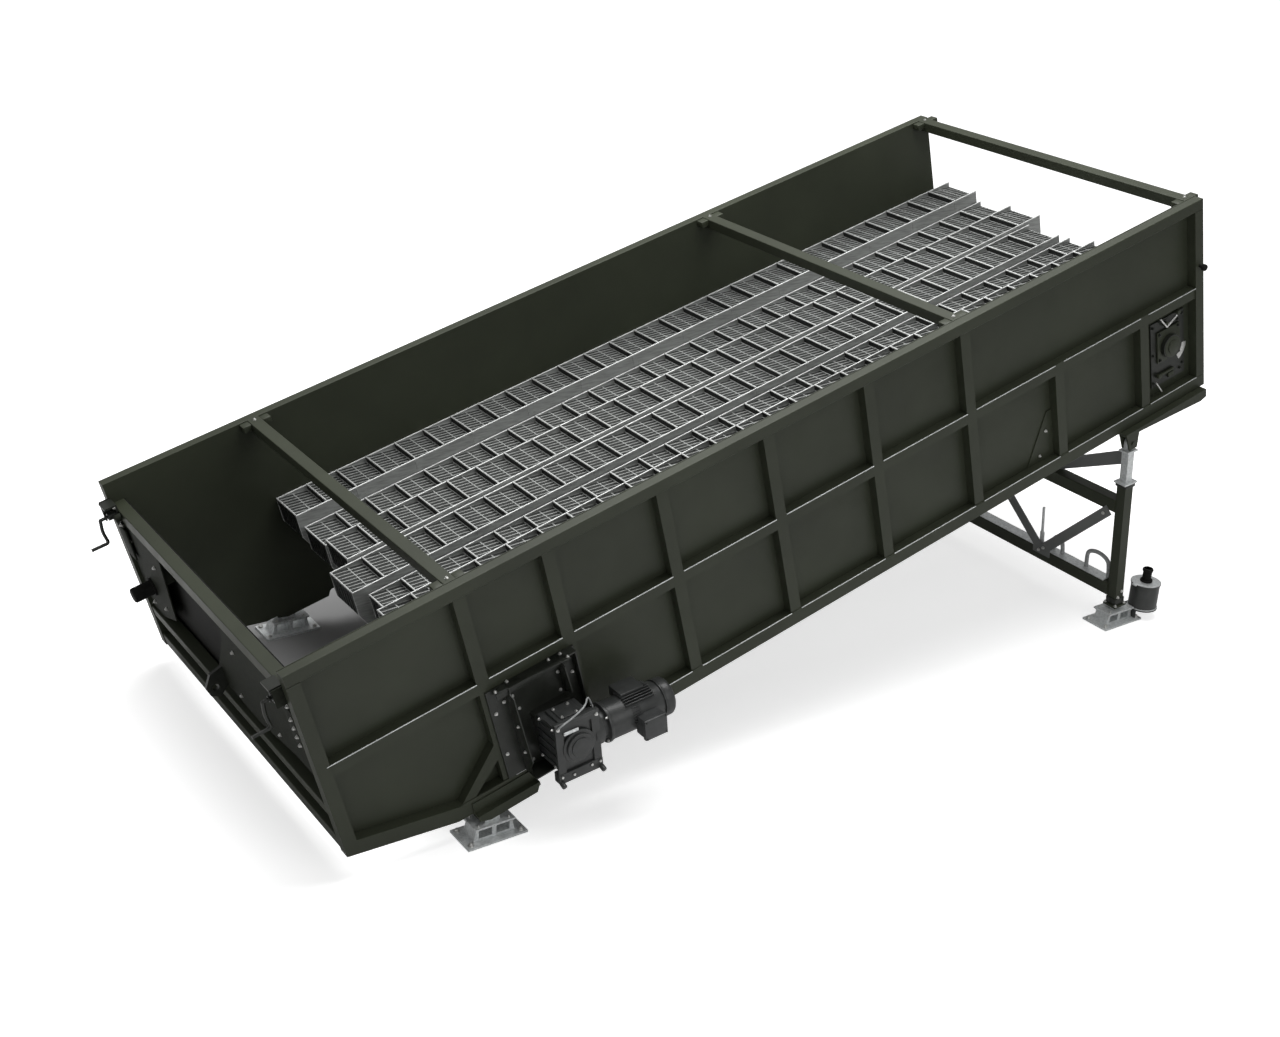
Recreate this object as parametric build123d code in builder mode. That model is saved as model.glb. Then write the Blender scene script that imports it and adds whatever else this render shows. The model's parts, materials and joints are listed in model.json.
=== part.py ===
"""Ballistic separator: a tilted, bottomless steel box on four feet, with a
floor of sawtooth paddles that two crankshafts swing round in small circles.

Millimetres. World frame: +X along the machine towards its high end, the
drive on the -Y side, +Z up, the floor at z = 0. The box is drawn in its own
tilted frame (u along the side walls, v across, w square to the rails) through
the planes side(v) and cross(u) below.
"""
from build123d import *
import os
from math import atan2, cos, radians, sin, tan

os.makedirs("parts", exist_ok=True)

# The box
TILT = 15.0            # slope of the rails
LENGTH = 7000.0        # along the rails
WIDTH = 2870.0         # over the two side walls
WALL_H = 1470.0        # rail top to bottom rail, square to the rails
LOW_H = 1275.0         # the same at the low end
KINK_U = 680.0         # where the bottom edge starts to rise to the low end
RAIL = 78.0            # height of the top rail
FRAME_D = 74.0         # depth of the wall frame, outside the sheet
SHEET = 6.0            # wall sheet
CORNER_Z = 1384.0      # height of the low top corner above the floor
CORNER_X = -3516.05    # and its place along X, so the origin is mid-length
NEAR_Y = -1295.5       # outer face of the drive-side wall

# Wall ribs: left faces, from the low end
RIBS = [1000.0, 1575.0, 2360.0, 3145.0, 3930.0, 4735.0, 5535.0, 6360.0]
RIB_W = 80.0
UPPER_RIBS = 6         # the last two stand below the mid rail only
MID_TOP, MID_LOW = -656.0, -736.0
BOTTOM_TOP = -1374.0

# Paddles and cranks
PADDLES = 8
PADDLE_W = 326.0
PITCH = (WIDTH - 2 * (FRAME_D + SHEET)) / PADDLES
CRANK_R = 70.0
LOW_U, LOW_W = 1380.0, -1160.0      # low crankshaft axis
HIGH_U, HIGH_W = 6690.0, -1022.0    # high crankshaft axis
PHASE = [110.0, 240.0, 150.0, 290.0, 190.0, 10.0, 330.0, 60.0]
DECK_W = -680.0        # tooth tops at mid stroke
FRONT_U, END_U = 985.0, 7120.0      # paddle ends at mid stroke
TEETH = 27
TOOTH_H = 44.0
DECK_T = 8.0           # plate that the deck is folded from
PIN_R = 34.0
RUN = 0.3              # clearance all round a crank pin

# Feet and legs
FOOT_X = 1220.0        # low feet, from the low corner
LEG_X = 6546.0         # high feet
LEG_Z = 130.0          # foot of a leg above the floor
LEAN = 6.0             # the high legs lean back towards the low end
BASE_L, BASE_W, BASE_T = 390.0, 230.0, 15.0
HOLE_X, HOLE_Y, HOLE_R = 330.0, 170.0, 11.0

BODY = Plane(origin=(CORNER_X, NEAR_Y, CORNER_Z),
             x_dir=(cos(radians(TILT)), 0, sin(radians(TILT))),
             z_dir=(-sin(radians(TILT)), 0, cos(radians(TILT))))


def at(u, v, w):
    """World point of a place in the tilted frame."""
    return BODY.from_local_coords(Vector(u, v, w))


def side(v):
    """Plane along a side wall: sketch x = u, sketch y = w, extrudes to -v."""
    return Plane(origin=at(0, v, 0), x_dir=BODY.x_dir, z_dir=(0, -1, 0))


def cross(u):
    """Plane across the box: sketch x = v, sketch y = w, extrudes to +u."""
    return Plane(origin=at(u, 0, 0), x_dir=(0, 1, 0), z_dir=BODY.x_dir)


def uw(x, z):
    """The (u, w) of a point x mm from the low corner and z mm above the floor."""
    a = radians(TILT)
    return x * cos(a) + (z - CORNER_Z) * sin(a), -x * sin(a) + (z - CORNER_Z) * cos(a)


NAMES = []


def finish(builder, name):
    """Label a finished piece and write it."""
    builder.part.label = name
    export_step(builder.part, "parts/" + name + ".step")
    NAMES.append((name, builder.part))


def box_uw(u0, u1, w0, w1):
    """Rectangle between two corners, for a sketch on side()."""
    with Locations(((u0 + u1) / 2, (w0 + w1) / 2)):
        Rectangle(u1 - u0, abs(w1 - w0))


# Side walls: sheet inside; rails, ribs and posts outside it
HANDS = ("near", "far")
SHEET_V = {"near": FRAME_D + SHEET, "far": WIDTH - FRAME_D}
FRAME_V = {"near": FRAME_D, "far": WIDTH}
RIB_V = {"near": FRAME_D, "far": WIDTH - 8.0}
BEAR_R = 62.0          # hole for a crankshaft in the sheet
LOW_SLOPE = (LOW_H - 96 + BOTTOM_TOP) / (KINK_U + 20)

for hand in HANDS:
    with BuildPart() as side_sheet:
        with BuildSketch(side(SHEET_V[hand])):
            with BuildLine():
                Polyline((0, 0), (LENGTH, 0), (LENGTH, -WALL_H), (KINK_U, -WALL_H),
                         (0, -LOW_H), close=True)
            make_face()
            with Locations((LOW_U, LOW_W), (HIGH_U, HIGH_W)):
                Circle(BEAR_R, mode=Mode.SUBTRACT)
        extrude(amount=SHEET)
    finish(side_sheet, "wall_sheet_" + hand)

    with BuildPart() as ribs:
        with BuildSketch(side(RIB_V[hand])):
            for k, u in enumerate(RIBS):
                box_uw(u, u + RIB_W, BOTTOM_TOP, MID_LOW)
                if k < UPPER_RIBS:
                    box_uw(u, u + RIB_W, MID_TOP, -RAIL)
            # short stiffener from the kink up to the first rib
            with BuildLine():
                Polyline((KINK_U + 40, BOTTOM_TOP), (KINK_U + 130, BOTTOM_TOP),
                         (RIBS[0], -1215), (RIBS[0], -1105), close=True)
            make_face()
        extrude(amount=FRAME_D - 8)
        with BuildSketch(side(FRAME_V[hand])):
            with BuildLine():
                Polyline((0, -RAIL), (RIB_W, -RAIL), (RIB_W, -LOW_H + 96 + LOW_SLOPE * RIB_W),
                         (0, -LOW_H + 96), close=True)
            make_face()
            box_uw(LENGTH - RIB_W, LENGTH, BOTTOM_TOP, -RAIL)
        extrude(amount=FRAME_D)
    finish(ribs, "ribs_" + hand)

with BuildPart() as top_rails:
    with BuildSketch(*[side(FRAME_V[hand]) for hand in HANDS]):
        box_uw(0, LENGTH, -RAIL, 0)
    extrude(amount=FRAME_D)
    fillet(top_rails.edges().filter_by(lambda e: e.length > LENGTH - 1), 6)
finish(top_rails, "top_rails")

with BuildPart() as mid_rails:
    with BuildSketch(*[side(RIB_V[hand]) for hand in HANDS]):
        box_uw(RIB_W, LENGTH - RIB_W, MID_LOW, MID_TOP)
    extrude(amount=FRAME_D - 8)
finish(mid_rails, "mid_rails")

with BuildPart() as bottom_rails:
    with BuildSketch(*[side(FRAME_V[hand]) for hand in HANDS]):
        with BuildLine():
            Polyline((0, -LOW_H), (KINK_U, -WALL_H), (LENGTH, -WALL_H), (LENGTH, BOTTOM_TOP),
                     (KINK_U + 20, BOTTOM_TOP), (0, -LOW_H + 96), close=True)
        make_face()
    extrude(amount=FRAME_D)
    fillet(bottom_rails.edges().filter_by(lambda e: e.length > 6000), 6)
finish(bottom_rails, "bottom_rails")

# Cross beams between the walls
INNER0, INNER1 = FRAME_D + SHEET, WIDTH - FRAME_D - SHEET
TOP_BEAMS = [(1005, 0, 78), (4745, 0, 78), (6905, 0, 78)]
LOW_BEAMS = [(15, -145, 100), (5, -955, 75), (5, -LOW_H + 92, 90)]
for name, beams in (("top_cross_beams", TOP_BEAMS), ("low_cross_beams", LOW_BEAMS)):
    with BuildPart() as cross_beams:
        with BuildSketch(side(INNER1)):
            for u0, w_top, tall in beams:
                box_uw(u0, u0 + 80, w_top - tall, w_top)
        extrude(amount=INNER1 - INNER0)
        fillet(cross_beams.edges().filter_by(lambda e: e.length > 1000), 6)
    finish(cross_beams, name)

# Gusset plates of the low end frame, each with a flange along its free edge
GUSSET_FAR = [(INNER1, -245), (2107, -245), (2107, -300), (2269, -822), (2600, -955), (INNER1, -955)]
GUSSET_NEAR = [(INNER0, -245), (1100, -245), (1190, -404), (1540, -790), (1500, -880), (1000, -900),
               (420, -800), (INNER0, -800)]
with BuildPart() as gussets:
    for outline, rib_v, rib_low in ((GUSSET_FAR, 2180, -500), (GUSSET_NEAR, 900, -760)):
        with BuildSketch(cross(24)):
            with BuildLine():
                Polyline(*outline, close=True)
            make_face()
        extrude(amount=8)
        with BuildSketch(cross(32)):
            box_uw(rib_v - 4, rib_v + 4, rib_low, -245)
        extrude(amount=60)
finish(gussets, "end_gussets")

# Dark rubber apron that closes the low end behind its beams and gussets
APRON_U = 95.0
with BuildPart() as apron:
    with BuildSketch(side(INNER1)):
        box_uw(APRON_U, APRON_U + 8, -LOW_H + 2, -150)
    extrude(amount=INNER1 - INNER0)
finish(apron, "end_apron")

# Round buffer on the far gusset and lifting lug on the near one
with BuildPart() as buffer:
    with BuildSketch(cross(24)):
        with Locations((2560, -690)):
            Circle(62)
    extrude(amount=-14)
    with BuildSketch(cross(10)):
        with Locations((2560, -690)):
            Circle(50)
    extrude(amount=-130)
    chamfer(buffer.faces().sort_by(Axis.X)[0].edges(), 8)
finish(buffer, "buffer")

with BuildPart() as lug:
    with BuildSketch(side(1480)):
        with BuildLine():
            Polyline((24, -740), (24, -880), (-40, -930), (-95, -900), (-110, -840), (-60, -760), close=True)
        make_face()
        with Locations((-52, -855)):
            Circle(22, mode=Mode.SUBTRACT)
    extrude(amount=25)
finish(lug, "lifting_lug")

# Hand cranks at the two low corners: bracket with a bearing, and the crank
CRANKS = {"near": 150.0, "far": WIDTH - 150.0}
HAND_W = -185.0
with BuildPart() as crank_brackets:
    for v in CRANKS.values():
        with BuildSketch(cross(15)):
            with Locations((v, HAND_W + 20)):
                Rectangle(110, 130)
            with Locations((v, HAND_W)):
                Circle(14 + RUN, mode=Mode.SUBTRACT)
        extrude(amount=-12)
        with BuildSketch(cross(3)):
            with Locations((v, HAND_W)):
                Circle(26)
                Circle(14 + RUN, mode=Mode.SUBTRACT)
        extrude(amount=-55)
        with BuildSketch(cross(3)):
            with Locations((v, HAND_W + 79)):
                Rectangle(110, 12)
        extrude(amount=-70)
finish(crank_brackets, "crank_brackets")

for hand, v in CRANKS.items():
    with BuildPart() as hand_crank:
        with BuildSketch(cross(5)):
            with Locations((v, HAND_W)):
                Circle(14)
        extrude(amount=-119)
        with BuildSketch(cross(-100)):
            with BuildLine():
                Polyline((v - 16, HAND_W + 18), (v + 16, HAND_W + 18), (v + 12, HAND_W - 168),
                         (v - 12, HAND_W - 168), close=True)
            make_face()
        extrude(amount=-14)
        with BuildSketch(cross(-114)):
            with Locations((v, HAND_W - 152)):
                Circle(13)
        extrude(amount=-105)
    finish(hand_crank, "hand_crank_" + hand)

# Crankshafts: journals in the walls, one offset pin per paddle, webs between
MID_V = [INNER0 + PITCH * (k + 0.5) for k in range(PADDLES)]
WEB = 22.0             # thickness of a web, an octagon round each shaft end
WEB_R = 54.0


def pin_at(axis_u, axis_w, k):
    a = radians(PHASE[k])
    return axis_u + CRANK_R * cos(a), axis_w + CRANK_R * sin(a)


for name, cu, cw in (("low_crankshaft", LOW_U, LOW_W), ("high_crankshaft", HIGH_U, HIGH_W)):
    with BuildPart() as crankshaft:
        with BuildSketch(side(INNER0 + 6)):
            with Locations((cu, cw)):
                Circle(40)
        extrude(amount=INNER0 + 6 + 150)
        with BuildSketch(side(WIDTH + 40)):
            with Locations((cu, cw)):
                Circle(40)
        extrude(amount=WIDTH + 40 - INNER1 + 6)
        for k in range(PADDLES + 1):
            v = INNER0 + PITCH * k
            ends = [pin_at(cu, cw, j) for j in (k - 1, k) if 0 <= j < PADDLES]
            if k in (0, PADDLES):
                ends.append((cu, cw))
                v += 6 + WEB / 2 if k == 0 else -6 - WEB / 2
            with BuildSketch(side(v + WEB / 2)):
                with Locations(*ends):
                    RegularPolygon(WEB_R, 8)
                make_hull()
            extrude(amount=WEB)
        for k in range(PADDLES):
            v0 = INNER0 + PITCH * k + (6 + WEB if k == 0 else WEB / 2)
            v1 = INNER0 + PITCH * (k + 1) - (6 + WEB if k == PADDLES - 1 else WEB / 2)
            with BuildSketch(side(v1)):
                with Locations(pin_at(cu, cw, k)):
                    Circle(PIN_R)
            extrude(amount=v1 - v0)
    finish(crankshaft, name)

# Paddles: a deck folded into steps between side skirts, a deep end box at the
# low end, a closed bearing on the low pin and an open fork over the high pin.
# The underside of the deck is its top moved along by the plate's thickness
DECK_DROP = DECK_T + 2
SKIRT_H = 140.0        # clears the webs of the high crankshaft by 8 mm
END_H = 150.0          # skirts and rear plate past that crankshaft
for k in range(PADDLES):
    a = radians(PHASE[k])
    du, dw = CRANK_R * cos(a), CRANK_R * sin(a)
    top = DECK_W + dw
    f, e = FRONT_U + du, END_U + du
    v1 = MID_V[k] + PADDLE_W / 2
    step = (e - f) / TEETH
    under = top - TOOTH_H - DECK_DROP
    teeth = []
    for n in range(TEETH):
        teeth += [(f + n * step, top), (f + (n + 1) * step, top - TOOTH_H)]
    underside = [(u + DECK_T, w - DECK_DROP) for u, w in teeth[:-1]]
    pu, pw = pin_at(LOW_U, LOW_W, k)
    qu, qw = pin_at(HIGH_U, HIGH_W, k)
    with BuildPart() as paddle:
        with BuildSketch(side(v1 - 6)):
            with BuildLine():
                Polyline((f, under), *teeth, (e, under), *reversed(underside), (f + DECK_T, under),
                         close=True)
            make_face()
            # cross plates under the deck that carry the bearing and the fork
            box_uw(pu - 120, pu + 120, under - 6, under + 4)
            box_uw(qu - 110, qu + 110, under - 6, under + 4)
            # front plate, rear plate and two stiffeners, each under the foot of a tile
            with BuildLine():
                Polyline((f, under), (f, top - 170), (f + 60, top - 300),
                         (f + 68, top - 300), (f + 10, top - 168), (f + 10, under), close=True)
            make_face()
            box_uw(e - 8, e, top - END_H, under + 4)
            for n in (10, 17):
                box_uw(f + n * step - 6, f + n * step + 4, top - SKIRT_H + 10, under + 4)
        extrude(amount=PADDLE_W - 12)
        # side skirts, deeper over the low end box
        with BuildSketch(side(v1), side(v1 - PADDLE_W + 6)):
            with BuildLine():
                Polyline((f, top), (e, top), (e, top - END_H), (e - 150, top - END_H),
                         (e - 160, top - SKIRT_H), (f + 330, top - SKIRT_H),
                         (f + 230, top - 300), (f + 60, top - 300), (f, top - 170), close=True)
            make_face()
        extrude(amount=6)
        # bearing hanger on the low pin
        with BuildSketch(side(MID_V[k] + 70)):
            with BuildLine():
                Polyline((pu - 120, under), (pu + 120, under), (pu + 58, pw), (pu - 58, pw), close=True)
            make_face()
            with Locations((pu, pw)):
                Circle(58)
                Circle(PIN_R + RUN, mode=Mode.SUBTRACT)
        extrude(amount=140)
        # fork over the high pin, open below
        with BuildSketch(side(MID_V[k] + 70)):
            with BuildLine():
                Polyline((qu - 110, under), (qu + 110, under), (qu + 58, qw - 20), (qu - 58, qw - 20),
                         close=True)
            make_face()
            with Locations((qu, qw)):
                Circle(PIN_R + 2, mode=Mode.SUBTRACT)
            with Locations((qu, qw - 30)):
                Rectangle(2 * PIN_R + 4, 60, mode=Mode.SUBTRACT)
        extrude(amount=140)
    finish(paddle, "paddle_%d" % (k + 1))

# Drive: bracket on the near wall, right-angle gearbox, motor, terminal box
DRIVE_TILT = radians(-8.0)     # motor axis against the rails


def drive(v):
    """Sketch plane at v, centred on the low crankshaft, x along the motor."""
    d = radians(TILT) + DRIVE_TILT
    return Plane(origin=at(LOW_U, v, LOW_W), x_dir=(cos(d), 0, sin(d)), z_dir=(0, -1, 0))


def along_motor(x):
    """Plane square to the motor axis, x mm from the crankshaft axis."""
    d = radians(TILT) + DRIVE_TILT
    base = drive(MOTOR_V)
    return Plane(origin=base.from_local_coords(Vector(x, 0, 0)), x_dir=(0, 1, 0), z_dir=(cos(d), 0, sin(d)))


MOTOR_V = -190.0
with BuildPart() as drive_bracket:
    with BuildSketch(side(8)):
        box_uw(1030, 1625, -1372, -738)
        with Locations((LOW_U, LOW_W)):
            Circle(100, mode=Mode.SUBTRACT)
    extrude(amount=12)
    with BuildSketch(side(-4)):
        box_uw(1150, 1160, -1372, -738)
        box_uw(1600, 1610, -1372, -738)
        box_uw(1160, 1600, -748, -738)
    extrude(amount=56)
    with BuildSketch(side(-4)):
        with Locations((LOW_U, LOW_W)):
            Rectangle(240, 300)
            Circle(75, mode=Mode.SUBTRACT)
    extrude(amount=58)
finish(drive_bracket, "drive_bracket")

with BuildPart() as gearbox:
    with BuildSketch(drive(-62)):
        Rectangle(250, 290)
        Circle(40 + RUN, mode=Mode.SUBTRACT)
    extrude(amount=100)
    with BuildSketch(drive(-162)):
        Rectangle(250, 290)
    extrude(amount=120)
    with BuildSketch(drive(-282)):
        with Locations((0, -10)):
            Rectangle(290, 400)
            Rectangle(190, 300, mode=Mode.SUBTRACT)
    extrude(amount=14)
    with BuildSketch(drive(-282)):
        Circle(82)
    extrude(amount=26)
    with BuildSketch(along_motor(125)):
        Circle(95)
    extrude(amount=90)
finish(gearbox, "gearbox")

with BuildPart() as motor:
    with BuildSketch(along_motor(215)):
        Circle(125)
    extrude(amount=24)
    with BuildSketch(along_motor(239)):
        Circle(106)
    extrude(amount=330)
    with BuildSketch(along_motor(569)):
        Circle(114)
    extrude(amount=110)
    chamfer(motor.faces().sort_by(Axis.X)[-1].edges(), 18)
finish(motor, "motor")

with BuildPart() as terminal_box:
    with BuildSketch(along_motor(390)):
        with Locations((-132, -30)):
            Rectangle(144, 130)
        Circle(106.5, mode=Mode.SUBTRACT)
    extrude(amount=150)
finish(terminal_box, "terminal_box")

# Bearing housings of the two crankshafts, on the outside of the walls
HOUSING_R = 88.0
for name, cu, cw, wide, tall, lift in (("low", LOW_U, LOW_W, 250, 300, 0),
                                       ("high", HIGH_U, HIGH_W, 340, 510, -33)):
    with BuildPart() as bearings:
        for v_plate, v_house in ((FRAME_D, FRAME_D - 12), (WIDTH - FRAME_D + 12, WIDTH - FRAME_D + 60)):
            with BuildSketch(side(v_plate)):
                with Locations((cu, cw + lift)):
                    Rectangle(wide, tall)
                with Locations((cu, cw)):
                    Circle(40 + RUN, mode=Mode.SUBTRACT)
            extrude(amount=12)
            with BuildSketch(side(v_house)):
                with Locations((cu, cw)):
                    Circle(HOUSING_R)
                    Circle(40 + RUN, mode=Mode.SUBTRACT)
            extrude(amount=48)
    finish(bearings, name + "_bearings")

# Feet: base plate, hollow plinth and pivot. Low feet under channel brackets
FOOT_V = {"near": 0.0, "far": WIDTH}
PLINTH = 105.0         # top of a plinth
CHANNEL_LOW = -1495.0
for name, x in (("low_feet", FOOT_X), ("high_feet", LEG_X)):
    with BuildPart() as feet:
        for v in FOOT_V.values():
            y = NEAR_Y + v
            with BuildSketch(Plane.XY):
                with Locations((CORNER_X + x, y)):
                    Rectangle(BASE_L, BASE_W)
                    with GridLocations(HOLE_X, HOLE_Y, 2, 2):
                        Circle(HOLE_R, mode=Mode.SUBTRACT)
            extrude(amount=BASE_T)
            # trapezoid plinth with two windows, drawn on its long side
            with BuildSketch(Plane(origin=(CORNER_X + x, y + 62, 0), x_dir=(1, 0, 0), z_dir=(0, -1, 0))):
                with BuildLine():
                    Polyline((-135, BASE_T), (135, BASE_T), (118, PLINTH - 12), (-118, PLINTH - 12), close=True)
                make_face()
                with Locations((-58, 54), (58, 54)):
                    Rectangle(88, 54, mode=Mode.SUBTRACT)
            extrude(amount=124)
            with BuildSketch(Plane.XY.offset(PLINTH - 12)):
                with Locations((CORNER_X + x, y)):
                    Rectangle(262, 160)
            extrude(amount=12)
            # pivot block up to what the foot carries
            if x == FOOT_X:
                with BuildSketch(side(v + 40)):
                    with BuildLine():
                        Polyline(uw(x - 50, PLINTH), uw(x + 50, PLINTH), (uw(x + 40, 170)[0], CHANNEL_LOW),
                                 (uw(x - 40, 150)[0], CHANNEL_LOW), close=True)
                    make_face()
                extrude(amount=80)
            else:
                rise = 40 * tan(radians(LEAN))
                with BuildSketch(Plane(origin=(CORNER_X + x, y + 30, 0), x_dir=(1, 0, 0), z_dir=(0, -1, 0))):
                    with BuildLine():
                        Polyline((-40, PLINTH), (40, PLINTH), (40, LEG_Z + rise), (-40, LEG_Z - rise), close=True)
                    make_face()
                extrude(amount=60)
    finish(feet, name)

with BuildPart() as channels:
    for v, lip in ((0.0, 0.0), (WIDTH, WIDTH + 8)):
        with BuildSketch(side(v + 50)):
            box_uw(770, 1190, CHANNEL_LOW, -WALL_H)
        extrude(amount=100)
        with BuildSketch(side(v + 50), side(v - 42)):
            with BuildLine():
                Polyline((770, -1480), (1190, -1480), (1160, -1532), (840, -1532), (770, -1505), close=True)
            make_face()
        extrude(amount=8)
        with BuildSketch(side(lip)):
            with BuildLine():
                Polyline((770, -1398), (1190, -1398), (1190, CHANNEL_LOW), (770, CHANNEL_LOW), close=True)
            make_face()
        extrude(amount=8)
finish(channels, "foot_channels")

# High legs: leaning square posts with telescopic inner tubes
LEAN_A = radians(LEAN)
LEG_DIR = Vector(-sin(LEAN_A), 0, cos(LEAN_A))
LEG_OUT = Vector(cos(LEAN_A), 0, sin(LEAN_A))
HEAD_H = 1340.0        # head pin, up the leg


def leg_plane(y, h):
    """Plane square to a leaning leg, h mm up it from its foot."""
    return Plane(origin=Vector(CORNER_X + LEG_X, y, LEG_Z) + LEG_DIR * h, x_dir=LEG_OUT, z_dir=LEG_DIR)


def leg_face(d):
    """Plane of the leaning portal frame, d mm towards +X from its middle:
    sketch x = across from the near leg, sketch y = height up the leg."""
    return Plane(origin=Vector(CORNER_X + LEG_X, NEAR_Y, LEG_Z) + LEG_OUT * d, x_dir=(0, 1, 0), z_dir=LEG_OUT)


with BuildPart() as leg_posts:
    for v in FOOT_V.values():
        y = NEAR_Y + v
        with BuildSketch(leg_plane(y, 0)):
            Rectangle(118, 118)
        extrude(amount=14)
        with BuildSketch(leg_plane(y, 14)):
            Rectangle(80, 80)
        extrude(amount=1006)
finish(leg_posts, "leg_posts")

with BuildPart() as leg_inners:
    for v in FOOT_V.values():
        y = NEAR_Y + v
        with BuildSketch(leg_plane(y, 1020)):
            Rectangle(128, 110)
        extrude(amount=12)
        with BuildSketch(leg_plane(y, 1032)):
            Rectangle(62, 62)
        extrude(amount=238)
        with BuildSketch(leg_plane(y, 1270)):
            Rectangle(104, 86)
        extrude(amount=14)
        with BuildSketch(Plane(origin=Vector(CORNER_X + LEG_X, y + 18, LEG_Z), x_dir=LEG_OUT, z_dir=(0, -1, 0))):
            with Locations((0, (1284 + HEAD_H) / 2)):
                Rectangle(64, HEAD_H - 1284)
            with Locations((0, HEAD_H)):
                Circle(32)
                Circle(16 + RUN, mode=Mode.SUBTRACT)
        extrude(amount=36)
finish(leg_inners, "leg_inners")

# clevises under the bottom rails that take the legs' heads on a pin
PIN_U, PIN_W = uw(LEG_X - HEAD_H * sin(LEAN_A), LEG_Z + HEAD_H * cos(LEAN_A))
with BuildPart() as clevises:
    for v in FOOT_V.values():
        with BuildSketch(side(v + 55)):
            with BuildLine():
                Polyline((PIN_U - 80, -WALL_H), (6960, -WALL_H), (6960, -1530), (6900, -1545),
                         (PIN_U + 90, -1500), (PIN_U - 80, -1490), close=True)
            make_face()
        extrude(amount=110)
        with BuildSketch(side(v + 38), side(v - 26)):
            with BuildLine():
                Polyline((PIN_U - 62, -1480), (PIN_U + 75, -1480), (PIN_U + 38, PIN_W - 42),
                         (PIN_U - 38, PIN_W - 42), close=True)
            make_face()
        extrude(amount=12)
        with BuildSketch(side(v + 46)):
            with Locations((PIN_U, PIN_W)):
                Circle(16)
        extrude(amount=92)
finish(clevises, "leg_clevises")

# Portal frame between the high legs
SPAN0, SPAN1 = 40.0, WIDTH - 40.0
for name, h in (("lower_cross_tube", 75), ("upper_cross_tube", 770)):
    with BuildPart() as cross_tube:
        with BuildSketch(leg_face(-50)):
            box_uw(SPAN0, SPAN1, h, h + 100)
        extrude(amount=100)
        fillet(cross_tube.edges().filter_by(Axis.Y), 8)
    finish(cross_tube, name)

MIRRORS = (lambda q: q, lambda q: WIDTH - q)
with BuildPart() as v_braces:
    with BuildSketch(leg_face(-60)):
        for m in MIRRORS:
            for a, b in (((690, 190), (85, 775)), ((735, 190), (1385, 775))):
                ang = atan2(b[1] - a[1], b[0] - a[0])
                nx, ny = -sin(ang) * 40, cos(ang) * 40
                with BuildLine():
                    Polyline((m(a[0] + nx), a[1] + ny), (m(a[0] - nx), a[1] - ny),
                             (m(b[0] - nx), b[1] - ny), (m(b[0] + nx), b[1] + ny), close=True)
                make_face()
            with Locations((m(712), 180)):
                Rectangle(170, 90)
    extrude(amount=10)
finish(v_braces, "v_braces")

with BuildPart() as upper_braces:
    with BuildSketch(leg_face(20)):
        for m in MIRRORS:
            with BuildLine():
                Polyline((m(31), 1150), (m(640), 870), (m(840), 870), (m(31), 1262), close=True)
            make_face()
    extrude(amount=10)
finish(upper_braces, "upper_braces")

with BuildPart() as tray:
    with BuildSketch(leg_face(-45)):
        box_uw(90, WIDTH - 90, 175, 181)
    extrude(amount=90)
finish(tray, "cable_tray")

# Locking lever on the lower cross tube
with BuildPart() as lever:
    with BuildSketch(leg_face(-46)):
        with Locations((728, 250)):
            Rectangle(36, 138)
    extrude(amount=12)
    with BuildSketch(leg_plane(NEAR_Y + 728, 300)):
        with Locations((-40, 0)):
            Circle(11)
    extrude(amount=230)
finish(lever, "frame_lever")

drum_x, drum_y = CORNER_X + LEG_X + 246, NEAR_Y - 62
SHELF_Z = 76.0         # underside of the drum's shelf
with BuildPart() as drum:
    with BuildSketch(Plane.XY.offset(SHELF_Z)):
        with Locations((drum_x, drum_y)):
            Circle(112)
        with Locations((drum_x - 50, drum_y + 40)):
            Rectangle(112, 140)
    extrude(amount=8)
    with BuildSketch(Plane.XY.offset(BASE_T)):
        with Locations((drum_x - 101, drum_y + 40)):
            Rectangle(10, 140)
    extrude(amount=SHELF_Z - BASE_T)
    for z, r, tall in ((84, 106, 190), (274, 112, 10), (284, 32, 110)):
        with BuildSketch(Plane.XY.offset(z)):
            with Locations((drum_x, drum_y)):
                Circle(r)
        extrude(amount=tall)
finish(drum, "drum")

low = [min(tuple(p.bounding_box().min)[i] for n, p in NAMES) for i in range(3)]
high = [max(tuple(p.bounding_box().max)[i] for n, p in NAMES) for i in range(3)]
print(len(NAMES), "pieces, box", [round(q, 1) for q in low], [round(q, 1) for q in high])
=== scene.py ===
"""Ballistic separator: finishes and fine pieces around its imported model.

Metres. Most pieces are drawn in the tilted frame of the box, x along the side
walls, y across from the drive side, z square to the rails, with its origin at
the low top corner, and are then seated in the world by the matrix BODY.
"""

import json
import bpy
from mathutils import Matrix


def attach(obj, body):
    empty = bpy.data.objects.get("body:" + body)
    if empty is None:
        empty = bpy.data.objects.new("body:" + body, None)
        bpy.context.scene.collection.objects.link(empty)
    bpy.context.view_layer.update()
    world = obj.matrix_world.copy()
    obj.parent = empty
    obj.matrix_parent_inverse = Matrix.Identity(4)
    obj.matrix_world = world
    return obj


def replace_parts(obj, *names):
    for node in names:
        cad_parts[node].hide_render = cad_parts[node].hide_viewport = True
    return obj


bl_info = {
    "name": "Ballistic separator",
    "version": (1, 0, 0),
    "blender": (4, 5, 0),
    "location": "View3D > Sidebar > Separator",
    "description": "Dresses the packed ballistic separator and lights it",
    "category": "Object",
}

from math import atan2, cos, hypot, pi, radians, sin

import bpy
from bpy.props import FloatProperty, FloatVectorProperty, IntProperty, PointerProperty
from mathutils import Matrix, Vector

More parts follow.
